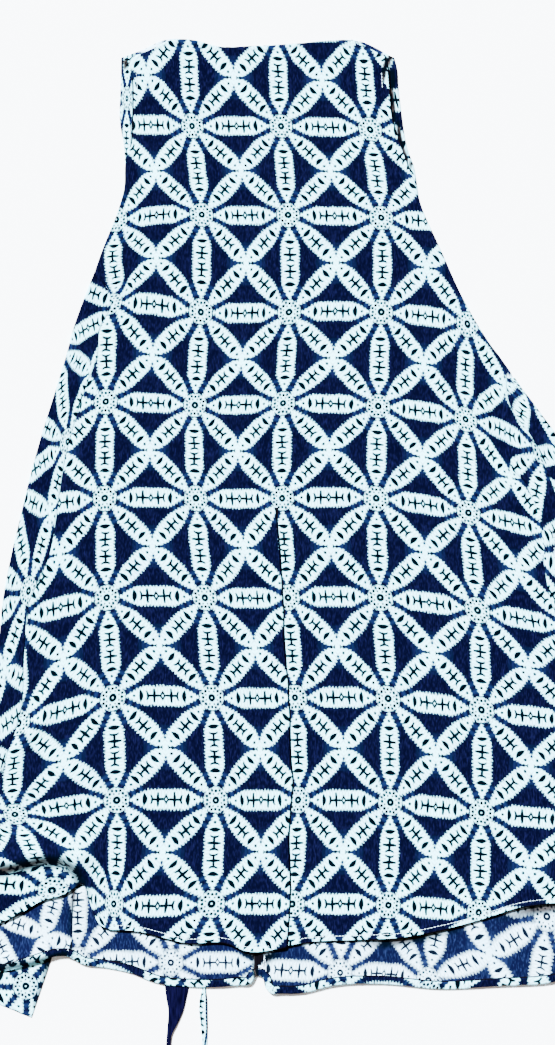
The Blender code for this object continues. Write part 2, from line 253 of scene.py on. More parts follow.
def cloth(name, points, uv, materials, keep=None, flip=False, hem=None, tones=None, shade=None):
    """A sheet on a grid of points (x, drop, height), with its print coordinates, closed to a thin shell."""
    rows, columns = points.shape[:2]
    number = np.arange(rows * columns).reshape(rows, columns)
    corners = np.stack([number[:-1, :-1], number[1:, :-1], number[1:, 1:], number[:-1, 1:]], axis=-1)
    chosen = np.ones(corners.shape[:2], bool) if keep is None else keep
    corners = corners[chosen]
    if flip:
        corners = corners[:, ::-1]
    used, faces = np.unique(corners, return_inverse=True)
    faces = faces.reshape(-1, 4)
    piece = new_piece(name, points.reshape(-1, 3)[used], faces.tolist())
    mesh = piece.data
    layer = mesh.uv_layers.new(name="print")
    layer.uv.foreach_set("vector", uv.reshape(-1, 2)[used][faces.ravel()].astype(np.float32).ravel())
    if shade is not None:
        depth = mesh.attributes.new("shade", "FLOAT", "POINT")
        depth.data.foreach_set("value", np.clip(shade, 0, 2).ravel()[used].astype(np.float32))
    for material in materials:
        mesh.materials.append(material)
    if tones is not None:
        mesh.polygons.foreach_set("material_index", tones[chosen].astype(np.int32))
    shell = piece.modifiers.new("Shell", "SOLIDIFY")
    shell.thickness = CLOTH * MM
    shell.offset = 0
    shell.material_offset = 1
    if hem is not None:
        group = piece.vertex_groups.new(name="hem")
        level = np.round(hem.reshape(-1)[used], 2)
        for value in np.unique(level):
            group.add(np.flatnonzero(level == value).tolist(), float(value), "REPLACE")
        shell.vertex_group = "hem"
        shell.thickness_vertex_group = 1 / HEM_LAYERS
        shell.thickness = CLOTH * HEM_LAYERS * MM
    return piece


class Wire:
    """A socket in shader maths, so that a sum on it adds a Math node."""

    def __init__(self, tree, socket=None):
        self.tree, self.socket = tree, socket

    def add(self, kind, settings, inputs, output=0):
        """Any node: its type, its settings, which are set first, then the values or wires of its sockets."""
        node = self.tree.nodes.new(kind)
        for key, value in settings.items():
            setattr(node, key, value)
        for key, value in inputs.items():
            if isinstance(value, Wire):
                self.tree.links.new(value.socket, node.inputs[key])
            else:
                node.inputs[key].default_value = value
        return Wire(self.tree, node.outputs[output])

    def maths(self, operation, *values, clamp=False):
        """A Math node on values or wires."""
        settings = {"operation": operation, "use_clamp": clamp}
        return self.add("ShaderNodeMath", settings, dict(enumerate(values)))

    def __add__(self, other):
        return self.maths("ADD", self, other)

    __radd__ = __add__

    def __sub__(self, other):
        return self.maths("SUBTRACT", self, other)

    def __rsub__(self, other):
        return self.maths("SUBTRACT", other, self)

    def __mul__(self, other):
        return self.maths("MULTIPLY", self, other)

    __rmul__ = __mul__

    def __abs__(self):
        return self.maths("ABSOLUTE", self)

    def __gt__(self, other):
        return self.maths("GREATER_THAN", self, other)

    def __or__(self, other):
        """The larger of the two: either shape."""
        return self.maths("MAXIMUM", self, other)

    def __and__(self, other):
        """The smaller of the two: where both shapes are."""
        return self.maths("MINIMUM", self, other)

    def soft(self, width):
        """0 to 1 across an edge of that width."""
        return self.maths("MULTIPLY_ADD", self, 1 / width, 0.5, clamp=True)

    def clamped(self):
        """This, held between 0 and 1."""
        return self.maths("ADD", self, 0, clamp=True)

    def wave(self, operation):
        """The sine or cosine of this."""
        return self.maths(operation, self)

    def mix(self, first, second):
        """Colour from first to second as this goes from 0 to 1."""
        return self.add("ShaderNodeMix", {"data_type": "RGBA"}, {0: self, 6: first, 7: second}, output=2)

    def place(self):
        """The piece's own Object coordinates."""
        return self.add("ShaderNodeTexCoord", {}, {}, output=3)

    def noise(self, stretch, detail):
        """Noise in those coordinates, stretched by a scale along each axis, per metre."""
        stretched = self.add("ShaderNodeMapping", {}, {0: self.place(), 3: stretch})
        return self.add("ShaderNodeTexNoise", {}, {"Vector": stretched, "Scale": 1, "Detail": detail})

    def bands(self, way, rate, uneven):
        """Even bands along an axis of those coordinates, or slanting, at a rate per metre."""
        inputs = {"Vector": self.place(), "Scale": rate, "Distortion": uneven}
        return self.add("ShaderNodeTexWave", {"bands_direction": way}, inputs)

    def relief(self, shader, strength, depth):
        """Puts this on a shader as relief of a depth in metres."""
        inputs = {"Strength": strength, "Distance": depth, "Height": self}
        self.add("ShaderNodeBump", {}, inputs).feed(shader, "Normal")

    def feed(self, shader, name):
        """Links this to a shader's socket."""
        self.tree.links.new(self.socket, shader.inputs[name])


# The print's colours on the right side: paper, its shade and its ribs, the dark ground with its paler
# threads, the blue between the shapes, the drawn marks, and deep shade in the folds
WHITE = (0.32, 0.88, 1.0, 1)
SHADE = (0.22, 0.58, 0.80, 1)
RIB = (0.22, 0.36, 0.46, 1)
NAVY = (0.0004, 0.0005, 0.0037, 1)
NAVY_THREAD = (0.0034, 0.0036, 0.0205, 1)
MID_BLUE = (0.0032, 0.0078, 0.027, 1)
MARK = (0.0001, 0.0008, 0.0018, 1)
DEEP_SHADE = (0.022, 0.0175, 0.0160, 1)

# One repeat of the print, in repeats from a roundel's middle, folded to an eighth. A petal has a middle, a
# half length, a half width and a fullness, a lens a middle, a half width and a bulge to each side, and a
# cross its first wing, bar, last wing and half width. A dot has a place and a size.
AXIAL_PETAL, DIAGONAL_PETAL = (0.5, 0.372, 0.0975, 1.31), (0.4384, 0.352, 0.092, 1.07)
AXIAL_CROSS, DIAGONAL_CROSS = (0.357, 0.4165, 0.468, 0.072), (0.348, 0.41, 0.465, 0.07)
AXIAL_LENS, DIAGONAL_LENS = (0.276, 0.067, 0.015, 0.036), (0.266, 0.066, 0.015, 0.036)
FAR_LENS = (0.557, 0.062, 0.036, 0.015)
DOTS = [
    (0.091, 0, 0.0170), (0.0643, 0.0643, 0.0170), (0.0942, 0.039, 0.0155), (0.061, 0.0253, 0.0105),
    (0.215, 0, 0.0155), (0.148, 0.148, 0.0150), (0.4405, 0.4405, 0.0160),
]
ROUNDEL, HUB, HUB_LINE = 0.126, 0.0235, 0.0175
LINE, BAR_LINE, DIAMOND_LINE = 0.0150, 0.0195, 0.0130
RIB_RATE, RIB_DEPTH = 185, 0.008
DRIFT, ROUGH_EDGE, ROUGH_MARK = 0.016, 0.034, 0.008
ROOT_HALF = 0.7071


def petal(along, across, middle, half_length, half_width, full):
    """How far inside a petal: it narrows as the square of the distance from its middle, up to a width."""
    share = (along - middle) * (1 / half_length)
    return (half_width * full - half_width * full * share * share - across) & (half_width - across)


def lens(along, across, middle, half, near, far):
    """A pointed bar across a petal, between a parabola on each side of its middle."""
    share = across * (1 / half)
    shape = 1 - share * share
    off = along - middle
    return (off + shape * near) & (shape * far - off)


def cross(along, across, first, bar, last, half):
    """A bar across a petal with a stem along it, and the small curved wing at each end of the stem."""

    def stroke(off, line, taper, reach):
        """A line across the petal that thins outwards and ends at its reach."""
        return (line - across * taper - abs(off)) & (reach - across)

    stem = (LINE - across) & (along - first) & (last - along)
    bend, reach = across * across * 7, half * 0.64
    wing, other = (stroke(off, LINE, 0.08, reach) for off in (along - first + bend, along - last - bend))
    return stroke(along - bar, BAR_LINE, 0.12, half) | stem, wing, other


def print_pattern(start, blur, thin):
    """Paper, marks, blue and ribs of the lattice print, each 0 to 1, at one repeat to a unit."""
    uv = start.add("ShaderNodeUVMap", {"uv_map": "print"}, {})

    def uneven(scale, detail):
        """Flat noise on the print's own coordinates."""
        inputs = {"Vector": uv, "Scale": scale, "Detail": detail}
        return start.add("ShaderNodeTexNoise", {"noise_dimensions": "2D"}, inputs)

    fine = uneven(52, 2)
    drift = [uneven(scale, 1) * DRIFT - DRIFT / 2 for scale in (7, 8.3)]
    u, v = (start.add("ShaderNodeSeparateXYZ", {}, {0: uv}, output=i) + drift[i] for i in (0, 1))
    across_u, across_v = u.maths("PINGPONG", u, 0.5), v.maths("PINGPONG", v, 0.5)
    level = across_u > across_v
    a, b = across_u | across_v, across_u & across_v
    t, w = (a + b) * ROOT_HALF, (a - b) * ROOT_HALF
    folded = start.add("ShaderNodeCombineXYZ", {}, {0: a, 1: b})

    def away(x, y):
        """Distance from a place in the folded eighth of the repeat."""
        inputs = {0: folded, 1: (x, y, 0)}
        return start.add("ShaderNodeVectorMath", {"operation": "DISTANCE"}, inputs, output=1)

    # Where the paper is left white: petals with ribbed edges and the roundels
    ring = away(0, 0)
    rib_a, rib_t = (a * RIB_RATE).wave("SINE"), (t * RIB_RATE).wave("SINE")
    axial = petal(a, b, *AXIAL_PETAL) + rib_a * RIB_DEPTH
    diagonal = petal(t, w, *DIAGONAL_PETAL) + level * 0.011 - 0.007 + rib_t * RIB_DEPTH
    inside = (axial | diagonal | (ROUNDEL - ring)) + (fine - 0.5) * ROUGH_EDGE - 0.0045
    paper = inside.soft(blur)

    # Where the ground is a paler blue: round the crossings, between the petals' ends and along their edges
    node = away(0.5, 0.5)
    near_node = (1 - (node - 0.11) * (1 / 0.12)).clamped()
    rings = (node * 150).wave("COSINE") * 0.3 + 0.7
    gap = (0.29 - ring).soft(0.08) * ((ring * 78 - 14.4).wave("COSINE") * 0.5 + 0.42)
    halo = (inside * 24 + 1).clamped() * (near_node * 0.7 + 0.12)
    blue = (near_node * rings | gap | halo).clamped()

    # The drawn marks: dots, dashes between the diagonal petals, hubs, and the crosses and lenses of petals
    dots = LINE - (1 - level) * 0.05 - away(0.5, 0.405)
    for x, y, size in DOTS:
        dots = dots | (size - away(x, y))
    half_dash = 0.0145 + (b * 150).wave("SINE") * 0.006
    dashes = (half_dash - 0.5 + a) & (b - 0.372) & (0.474 - b) & (0.5 - level)
    hub = HUB_LINE - abs(ring - HUB)
    bar, wing, other = cross(a, b, *AXIAL_CROSS)
    link = (0.013 - b) & (a - 0.43) & (0.484 - a) & (level - 0.5)
    diamond = (DIAMOND_LINE - abs((0.5 - a) + b * 0.6 - 0.021)) & (level - 0.5)
    axial_marks = bar | wing | (other - level) | link | diamond | lens(a, b, *AXIAL_LENS)
    bar, wing, other = cross(t, w, *DIAGONAL_CROSS)
    diagonal_marks = bar | wing | other | lens(t, w, *DIAGONAL_LENS) | lens(t, w, *FAR_LENS)
    marks = (dots | dashes | hub | axial_marks | diagonal_marks) + (fine - 0.5) * ROUGH_MARK - thin

    # Faint ribs towards the edges of the petals
    edge_of_axial = (0.128 - b).soft(0.02) * (b - 0.02).soft(0.05)
    edge_of_diagonal = (diagonal - axial).soft(0.01) * (w - 0.016).soft(0.04)
    ribs = (rib_a - 0.35).soft(0.9) * edge_of_axial | (rib_t - 0.35).soft(0.9) * edge_of_diagonal
    return paper, marks.soft(0.009), blue, ribs.clamped()


def matt_material(name, roughness, specular=0):
    """A material with little gloss, its shader, and a first wire to add nodes to."""
    material = bpy.data.materials.new(name)
    material.use_nodes = True
    shader = material.node_tree.nodes["Principled BSDF"]
    shader.inputs["Roughness"].default_value = roughness
    shader.inputs["Specular IOR Level"].default_value = specular
    return material, shader, Wire(material.node_tree)


def printed_cloth(name, ground, thread, mid, mark, white, flecks, sparse, blur, thin):
    """Matt woven cloth with the print. Paler threads of an uneven weave show through the dark ground."""
    material, shader, start = matt_material(name, 0.85)
    paper, marks, blue, ribs = print_pattern(start, blur, thin)
    threads, cloudy = start.noise((900, 210, 400), 2), start.noise((26, 26, 26), 2)
    dark = ((threads - sparse) * flecks).clamped().mix(blue.mix(ground, mid), thread)
    pale = ((cloudy - 0.45) * 1.6 + (threads - 0.5) * 0.7).clamped().mix(white, SHADE)
    pale = (ribs * 0.6).mix(pale, RIB)
    colour = paper.mix(dark, marks.mix(pale, mark))

    # Deep shade takes the colour down by the fourth power of what light is left, and past 1.1 to black
    deep = start.add("ShaderNodeAttribute", {"attribute_name": "shade"}, {}, output=2)
    lit = (1 - deep * (cloudy * 0.6 + 0.7)).clamped()
    shaded = paper.mix(MARK, marks.mix(DEEP_SHADE, MARK))
    colour = (1 - lit * lit * lit * lit).mix(colour, shaded)
    ((deep - 1.1) * 4).clamped().mix(colour, MARK).feed(shader, "Base Color")

    # The weave's own relief
    across, along = (start.bands(way, rate, 1.2) for way, rate in (("X", 520), ("Y", 480)))
    height = (across + along) * 0.06 + start.noise((150, 60, 100), 3) * 0.9 + threads * 0.12
    height.relief(shader, 0.35, 0.0006)
    return material


def plain_cloth(name, dark, light):
    """The print's navy with no pattern: paler and darker threads run down it."""
    material, shader, start = matt_material(name, 0.8)
    threads = start.noise((800, 90, 300), 3)
    ((threads - 0.38) * 3).clamped().mix(dark, light).feed(shader, "Base Color")
    threads.relief(shader, 0.4, 0.0004)
    return material


RIGHT_SIDE = printed_cloth(
    "printed_right_side", NAVY, NAVY_THREAD, MID_BLUE, MARK, WHITE,
    flecks=2.6, sparse=0.47, blur=0.016, thin=0,
)
WRONG_WHITE = (0.50, 0.78, 0.96, 1)
WRONG_NAVY = (0.0012, 0.0016, 0.0095, 1)
WRONG_BLUE = (0.0065, 0.013, 0.040, 1)
WRONG_MARK = (0.0009, 0.0022, 0.0055, 1)
FADED_THREAD = (0.0062, 0.0105, 0.033, 1)
WRONG_SIDE = printed_cloth(
    "printed_wrong_side", WRONG_NAVY, FADED_THREAD, WRONG_BLUE, WRONG_MARK, WRONG_WHITE,
    flecks=5, sparse=0.50, blur=0.034, thin=0.003,
)
# Near-black cloth for painted shade: dark lines of shade along the centre lap's turned edge, the front hem's
# very edge, the armholes' edges, the pleat, the crevice and the top of the back's turned-up hem band
PAINTED_SHADE_CLOTH = plain_cloth("crease", (0.0006, 0.0005, 0.0008, 1), (0.0018, 0.0014, 0.0024, 1))


def grid_lines(*spans):
    """Shares from 0 on through spans, each given by its end and its number of even steps."""
    lines = [np.zeros(1)]
    for end, steps in spans:
        lines.append(np.linspace(lines[-1][-1], end, steps + 1)[1:])
    return np.concatenate(lines)


# Grid lines down the front and across its three parts, close together at the hems and at the hem's notch
ROWS = grid_lines((0.0095, 7), (0.9, 179), (0.988, 35), (1, 9))
LEFT_SHARES = grid_lines((0.045, 7), (0.3, 11), (0.46, 23), (1, 23))[:-1]
MIDDLE_SHARES = np.linspace(0, 1, 58)[1:-1]
RIGHT_SHARES = np.linspace(0, 1, 14)[1:]
# The width of the outermost strip at each side, and columns of a lap's section: the first one past the
# outermost line of its turned edge, and the first and last of those in deep shade
BINDING, LAP_BENT, LAP_SHADED = 1.5, 8, (7, 19)


def lap_section(deep):
    """A lap's section, sideways and up: over to the turned edge, back under it, and out again below."""
    turn = np.linspace(np.pi / 2, -np.pi / 2, 6)
    half = LAP_STEP / 2
    run = np.linspace(0, 1, 4)[1:-1]
    deep = deep[:, None]
    flat = np.zeros_like(deep)
    side = np.hstack(
        [
            flat - 14, flat - 7, flat - 3, flat + half * (np.cos(turn) - 1), (half - deep) * run - half,
            -deep - half * np.cos(turn), -deep * (1 - run), flat + 2.2, flat + 3.6, flat + 7.5,
        ]
    )
    up = [0.1, 0.75, 0.98, *(3 + np.sin(turn)) / 4, 0.5, 0.5, *(1 + np.sin(turn)) / 4, 0, 0, 0, 0, 0]
    return side, np.broadcast_to(np.array(up) * 2 * LAP_STEP, side.shape)


def lap_columns(lap, row_drop, mirrored):
    """Columns of the grid through a lap, in x and up. Where it has no depth the cloth lies flat."""
    deep = np.maximum(through(lap, "drop", "deep", row_drop), 0)
    side, up = lap_section(np.maximum(deep, 1))
    if mirrored:
        side, up = -side[:, ::-1], up[:, ::-1]
    level = np.linspace(side[0, 0], side[0, -1], side.shape[1])
    laid = ease(deep / 2)[:, None]
    return through(lap, "drop", "x", row_drop)[:, None] + laid * side + (1 - laid) * level, laid * up


def hem_slant(hem, x):
    """How much further a hem is straight down than square to it, where it slants."""
    rise = through(hem, "x", "drop", x + 1) - through(hem, "x", "drop", x - 1)
    return np.hypot(1, rise / 2)


def front_height(x, drop):
    """Height of the front's middle, without its laps, hems and seams."""
    from_hem = through(FRONT_HEM, "x", "drop", x) - drop
    waves = through(FRONT_WAVES, "x", "lift", x) * ease(1 - from_hem / FRONT_WAVE_REACH)
    return FRONT_MIDDLE + waves + fold_lift(FRONT_FOLDS, x, drop)


v = ROWS
front_sides = (LEFT, "edge"), (RIGHT, "edge"), NECK, FRONT_HEM, LEFT_HEM, RIGHT_HEM
left_x, left_drop = panel_at(np.zeros_like(v), v, *front_sides)
right_x, right_drop = panel_at(np.ones_like(v), v, *front_sides)
centre_drop = SIDE_TOP + v * (CENTRE_HEM - SIDE_TOP)
centre_x, centre_up = lap_columns(CENTRE_LAP, centre_drop, mirrored=False)
slant_x, slant_up = lap_columns(SIDE_LAP, right_drop, mirrored=True)
inner_left, inner_right = left_x[:, None] + BINDING, right_x[:, None] - BINDING
left_points = np.hstack([left_x[:, None], inner_left + (centre_x[:, :1] - inner_left) * LEFT_SHARES])
middle_points = centre_x[:, -1:] + (slant_x[:, :1] - centre_x[:, -1:]) * MIDDLE_SHARES
right_points = np.hstack([slant_x[:, -1:] + (inner_right - slant_x[:, -1:]) * RIGHT_SHARES, right_x[:, None]])
x = np.hstack([left_points, centre_x, middle_points, slant_x, right_points])
lap_up = np.hstack([0 * left_points, centre_up, 0 * middle_points, slant_up, 0 * right_points])
u = (x - left_x[:, None]) / (right_x - left_x)[:, None]
front_x, front_drop = panel_at(u, v[:, None], *front_sides)

# Hemmed edges are the neck, the armholes down to the underarms, and the hem. Below the underarms the sides
# are seams, where the cloth dips. Where a side is of the other kind, its distance is made large.
FAR, SEAM_DIP, SEAM_REACH = 1000, 0.5, 2.6
left_seamed = FAR * (front_drop > LEFT_UNDERARM)
right_seamed = FAR * (front_drop > RIGHT_UNDERARM)
from_hem = (through(FRONT_HEM, "x", "drop", front_x) - front_drop) / hem_slant(FRONT_HEM, front_x)
from_neck = front_drop - through(NECK, "x", "drop", front_x)
from_left, from_right = x - left_x[:, None], right_x[:, None] - x
from_edge = np.minimum.reduce([from_hem, from_neck, from_left + left_seamed, from_right + right_seamed])
from_seam = np.minimum(from_left + FAR - left_seamed, from_right + FAR - right_seamed)
front_z = front_height(front_x, front_drop) + lap_up + hem_puff(from_edge)
front_z = front_z - SEAM_DIP * ease(1 - from_seam / SEAM_REACH)


# The print on each side of the laps. What a lap hides is twice its depth, so the far side's roundels are
# charted that much farther off. Some petals near the folds are placed by their own marks.
def front_chart(left_shift, right_shift, more):
    """The charted roundels, with those to the left and right of the centre lap moved by what it hides."""
    rows = list(more)
    for line, name in zip(range(-3, 4), "zabcdef"):
        low = PRINT_LIE.get("low_" + name, 0 * PRINT_LIE["row"])
        for row, drop, place in zip(PRINT_LIE["row"], PRINT_LIE["drop"] + low, PRINT_LIE[name]):
            hidden = 2 * max(through(CENTRE_LAP, "drop", "deep", drop), 0)
            shift = left_shift * hidden if line < 0 else right_shift * hidden
            rows.append((line, row, place + shift, drop))
    return rows


NEAR_LEFT_SEAM = [
    (-2, 2.276, -166.3, 218.3), (-2, 2.4165, -168.6, 229.1), (-2, 2.5835, -165.5, 246.2),
    (-2, 2.724, -162.5, 258.4), (-1.812, 2.188, -150.2, 207.5), (-1.812, 2.812, -150.1, 259.3),
    (-1.812, 3.188, -154, 297.2), (-2, 3.276, -172.8, 306.4), (-1.724, 2, -141.3, 189.4),
    (-1.5, 2, -123.8, 186), (-1.724, 3, -145.3, 278.4),
]
LEFT_OF_SIDE_LAP = [
    (2.4165, 4, 223.7, 407.4), (2.5835, 4, 233.2, 413), (2.724, 4, 243.5, 419.6), (2.5, 4.5, 233.2, 457.9),
    (2.607, 4.607, 241.7, 467.7), (2.71, 4.71, 249.6, 480.5),
]
RIGHT_OF_SIDE_LAP = [
    (3, 4, 266.9, 431.2), (3, 4.276, 261.9, 457.9), (3, 4.4165, 258.5, 471.2), (2.813, 4.187, 246.8, 441.2),
    (2.5, 4.5, 214, 468), (3, 5, 250, 529.6), (3.187, 4.813, 268.3, 516.5), (3.29, 4.71, 275.6, 511.3),
    (3.276, 5, 270.7, 542.1), (4, 4, 357, 453), (4, 5, 332, 572), (3, 6, 258, 636), (4, 6, 345, 662),
]
BELOW_ARC = [
    (-3, 9, -218.6, 861.5), (-3.276, 9, -247, 857), (-3.4165, 9, -263, 855.5),
    (-3.187, 8.813, -234.5, 841.5), (-3, 8.724, -211.8, 834.5), (-3, 10, -219, 958),
]
front_uv = print_at(front_chart(-1, 0, LEFT_OF_SIDE_LAP), front_x, front_drop)
centre_first = LEFT_SHARES.size + 1
left_of_lap = np.s_[:, : centre_first + LAP_BENT]
lay_print(front_uv, left_of_lap, front_chart(0, 1, NEAR_LEFT_SEAM), front_x, front_drop)

# Right of the slanting lap's turned edge the print's own chart sets in over 6 mm and fades out over 100
LAP_PRINT_TOP, LAP_PRINT_FOOT = 429, 720
side_first = centre_first + centre_x.shape[1] + MIDDLE_SHARES.size
side_edge = side_first + slant_x.shape[1] - LAP_BENT - 1
beyond_lap = ease((front_drop - LAP_PRINT_TOP) / 6) * ease((LAP_PRINT_FOOT - front_drop) / 100)
beyond_lap = (beyond_lap * (np.arange(x.shape[1]) >= side_edge))[..., None]
front_uv = front_uv + beyond_lap * (print_at(RIGHT_OF_SIDE_LAP, front_x, front_drop) - front_uv)

# A strip of the right armhole lies turned in and shows paper: its width, its top and foot, the height over
# which it narrows to its foot, and how much farther on the print is there, in repeats
TURNED_WIDTH, TURNED_TOP, TURNED_FOOT, TURNED_TAPER, TURNED_ON = 7.5, 33, 59, 18, 0.17
turned_in = from_right < TURNED_WIDTH * ease((TURNED_FOOT - front_drop) / TURNED_TAPER)
front_uv[..., 0] -= TURNED_ON * (turned_in & (front_drop > TURNED_TOP))

# From 10 mm below the arc of the fold over the notch, the cloth is another part of the front
arc = np.array(NOTCH_ARC)
under_arc = front_drop > np.interp(front_x, arc[:, 0], arc[:, 1]) + 10
under_arc = under_arc & (front_x < arc[-1, 0] + 0.5)
lay_print(front_uv, under_arc, BELOW_ARC, front_x, front_drop)

# The turned edge of the centre lap, the very edge of the hem and the armholes' edges have painted shade: dark
# lines in near-black cloth
FRONT_PAINTED_SHADE, LAP_SHOWS = 2, 1.1
tones = np.zeros((len(v) - 1, x.shape[1] - 1), int)
lapped = through(CENTRE_LAP, "drop", "deep", centre_drop[:-1]) > LAP_SHOWS
tones[lapped, centre_first + LAP_SHADED[0] : centre_first + LAP_SHADED[1]] = FRONT_PAINTED_SHADE
tones[-1] = FRONT_PAINTED_SHADE
for side_drop, column, top, foot in ((left_drop, 0, 38, 112), (right_drop, -1, 24, 140)):
    tones[(side_drop[:-1] > top) & (side_drop[:-1] < foot), column] = FRONT_PAINTED_SHADE
thickness = 1 / HEM_LAYERS + (1 - 1 / HEM_LAYERS) * ease((HEM - from_edge) / 1.5)
front = cloth(
    "front_panel_cloth",
    np.stack([front_x, front_drop, front_z], axis=-1),
    front_uv,
    [RIGHT_SIDE, WRONG_SIDE, PAINTED_SHADE_CLOTH],
    hem=thickness,
    tones=tones,
    shade=fold_lift(FRONT_SHADES, front_x, front_drop),
)
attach(front, "root")
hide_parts("front_panel")

# The hems' stitches, in pale thread: their length, pitch, radius and how far they sink in, then each ring's
# place along a stitch and its share of the radius
STITCH, STITCH_PITCH, THREAD, STITCH_SUNK = 2.6, 3.3, 0.28, 0.05
STITCH_RINGS = [(-0.5, 0.25), (-0.4, 0.85), (0, 1), (0.4, 0.85), (0.5, 0.25)]
SIDES = 6
THREAD_WHITE = (0.62, 0.80, 0.92, 1)


def stitch_run(x, drop, height):
    """Middles and directions of stitches at an even pitch along a line of points."""
    line = np.stack([x, drop, height], axis=-1)
    along = np.concatenate([[0], np.cumsum(np.hypot(*np.diff(line[:, :2], axis=0).T))])
    at = np.arange(STITCH_PITCH, along[-1] - STITCH_PITCH, STITCH_PITCH)
    middle = np.stack([np.interp(at, along, c) for c in line.T], axis=-1)
    ahead = np.stack([np.interp(at + 1, along, c) for c in line.T], axis=-1) - middle
    return np.stack([middle, ahead / np.linalg.norm(ahead, axis=-1, keepdims=True)], axis=1)


def stitches(name, runs):
    """Each stitch is a short rounded bar: six-sided rings, thin at both ends, laid along its direction."""
    middle, ahead = np.concatenate(runs).transpose(1, 0, 2)
    across = np.stack([ahead[:, 1], -ahead[:, 0], 0 * ahead[:, 0]], axis=-1)
    across /= np.linalg.norm(across, axis=-1, keepdims=True)
    up = np.cross(across, ahead)
    turn = np.linspace(0, 2 * np.pi, SIDES, endpoint=False)[:, None]
    ring = np.cos(turn) * across[:, None, None] + np.sin(turn) * up[:, None, None]
    share, girth = np.array(STITCH_RINGS).T[:, :, None, None]
    points = middle[:, None, None] + share * STITCH * ahead[:, None, None] + girth * THREAD * ring
    side, steps = np.arange(SIDES), len(STITCH_RINGS) - 1
    band = np.stack([side, (side + 1) % SIDES, (side + 1) % SIDES + SIDES, side + SIDES], axis=-1)
    bands = (band + SIDES * np.arange(steps)[:, None, None]).reshape(-1, 4)
    ends = np.stack([side[::-1], side + SIDES * steps])
    first = SIDES * (steps + 1) * np.arange(len(middle))[:, None, None]
    faces = [*(bands + first).reshape(-1, 4).tolist(), *(ends + first).reshape(-1, SIDES).tolist()]
    piece = new_piece(name, points, faces)
    thread, shader, start = matt_material(name, 0.8, 0.02)
    (start.bands("DIAGONAL", 900, 0) * 0.3).mix(THREAD_WHITE, SHADE).feed(shader, "Base Color")
    piece.data.materials.append(thread)
    return piece


# The stretches of the hem and of the armholes' edges where stitches show, and how far in the latter run
STITCHED_HEM = [(-FAR, -198), (-164, 0), (20, FAR)]
STITCHED_ARMHOLES = [(LEFT, STITCH_IN, (30, 58)), (RIGHT, -1.6 * STITCH_IN, (33, 56))]
on_top = CLOTH * HEM_LAYERS / 2 - STITCH_SUNK
hem_x = np.linspace(-284, 352, 700)
hem_drop = through(FRONT_HEM, "x", "drop", hem_x) - STITCH_IN * hem_slant(FRONT_HEM, hem_x)
lines = []
for start, end in STITCHED_HEM:
    there = (hem_x > start) & (hem_x < end)
    lines.append((hem_x[there], hem_drop[there]))
for side, inward, stretch in STITCHED_ARMHOLES:
    arm_drop = np.linspace(*stretch, 60)
    lines.append((through(side, "drop", "edge", arm_drop) + inward, arm_drop))
runs = [stitch_run(x, drop, front_height(x, drop) + on_top - STITCH_DIP) for x, drop in lines]
front_stitches = stitches("front_stitches", runs)
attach(front_stitches, "root")

# Back panel
# Cut longer than the front from the same cloth, and laid right side down. It comes round both sides in a
# soft fold to the side seams, and its hem is turned up on the wrong side, so that a band of the right side
# shows there.
BACK_HEM = table("x drop", [
    (-307, 900), (-291, 924), (-268, 937), (-245, 932), (-230, 927), (-214, 923), (-201, 924), (-191, 930),
    (-166, 934), (-143, 939), (-119, 948), (-84, 952), (-55, 952), (-36, 950), (-30, 950), (-26, 948),
    (-23.5, 944), (-20, 942), (-15, 942.5), (-12.8, 946), (-11.6, 952), (-9, 955.5), (4, 958), (22, 958),
    (51, 951), (99, 949), (157, 954), (215, 951), (268, 947), (320, 932), (358, 902), (383, 870),
])
BACK_WAVES = table("x lift", [
    (-307, 2), (-268, 2.4), (-214, 3.6), (-180, 2.4), (-110, 1.8), (-60, 2.4), (-34, 3.6), (-8, 3.8),
    (14, 2.8), (50, 3.2), (110, 2.2), (160, 1.8), (215, 2.8), (268, 3.6), (330, 2.4), (383, 2),
])
BACK_FOLDS = [
    (14, 2.6, [
        (-196, 856, 0), (-197, 868, 1.6), (-199, 884, 2), (-200, 905, 2), (-201, 925, 1.4), (-201, 936, 0),
    ]),
    (4, 4, [(-22, 900, 0), (-21, 912, -2.4), (-21, 930, -3), (-20, 943, -2.6), (-19, 950, -1.5)]),
    (20, 5, [(-306, 934, 3), (-268, 934, 4), (-240, 928, 4), (-212, 920, 2), (-200, 921, 0)]),
    (8, 8, [(20, 918, 0), (34, 932, -1.6), (44, 952, 0)]),
    (10, 10, [(-120, 914, 0), (-112, 930, 1), (-104, 948, 0)]),
    (9, 9, [(72, 914, 0), (80, 930, 1.2), (84, 948, 0)]),
    (9, 9, [(186, 900, 0), (192, 924, 1.3), (196, 950, 0)]),
    (10, 6, [(238, 890, 0), (246, 915, 1.6), (250, 945, 0)]),
]
# Deep shade under the front's hem, in the crevice, at the pleat and along the armholes
BACK_SHADES = [
    (5, 9, [(-30, 919, 0.7), (-18, 922, 1), (-12, 925, 0.9), (-4, 922, 0.4)]),
    (3, 3, [(-20, 920, 1.6), (-21, 934, 1.5), (-21, 946, 1)]),
    (6, 8, [(84, 911, 0.2), (104, 911, 0.6), (120, 909, 0.7), (150, 903, 0.5), (180, 895, 0.3)]),
    (5, 8, [(215, 886, 0.2), (245, 880, 0.7), (280, 876, 0.8), (320, 873, 0.8), (366, 872, 0.8)]),
    (3, 5, [(-197, 862, 0.8), (-199, 884, 0.3), (-200, 905, 0.2)]),
    (3, 3, [(-158, 22, 1.9), (-154, 27, 1.9)]),
    (1.8, 1.8, [(118, 32, 3), (119, 66, 2), (122, 84, 1), (126, 104, 3), (133, 126, 3), (138, 136, 0.6)]),
    (2.6, 2.6, [(121.5, 12.5, 3), (116, 18.5, 3), (112, 25, 3)]),
    (5, 5, [(-310, 932, 0.5), (-268, 934, 0.5), (-240, 929, 0.3), (-205, 922, 0.6)]),
]
